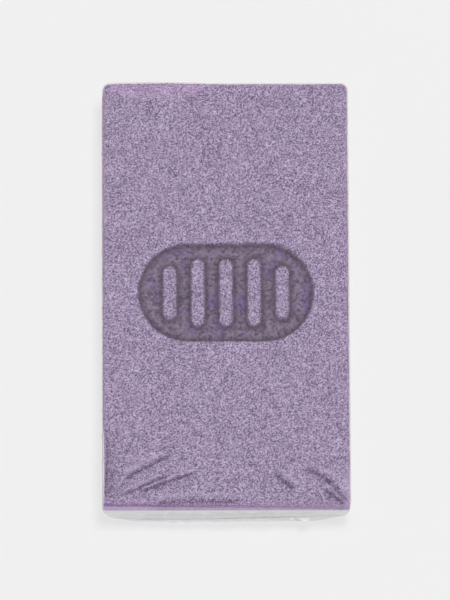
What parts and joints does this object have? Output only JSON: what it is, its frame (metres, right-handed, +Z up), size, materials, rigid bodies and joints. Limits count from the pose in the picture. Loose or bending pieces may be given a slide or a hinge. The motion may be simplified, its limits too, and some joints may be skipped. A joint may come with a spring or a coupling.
{
  "type": "shoe scuff eraser sponge",
  "caption": "Flat rectangular shoe-cleaning sponge of a coarse scrubbing foam bonded to a fine eraser foam, with a pressed grip panel, shrink-wrapped in clear film.",
  "frame": {"origin": "under the middle of the wrapped block, on the surface that it lies on", "axes": "+Z up through the scrubbing face, +Y along the block towards the folded end of the film, +X across"},
  "size_m": [0.0666, 0.1142, 0.0308],
  "materials": {
    "scrub_foam": "matte open-cell polyurethane foam, lavender purple, darker and smoother where hot-pressed",
    "hot_melt": "dull translucent hot-melt adhesive",
    "eraser_foam": "matte fine-celled white melamine foam",
    "clear_film": "clear glossy polyolefin shrink film, creased at the corners"
  },
  "bodies": {
    "root": {"scrub_layer": "scrub_foam", "bond_sheet": "hot_melt", "eraser_layer": "eraser_foam", "shrink_film": "clear_film"}
  },
  "joints": []
}
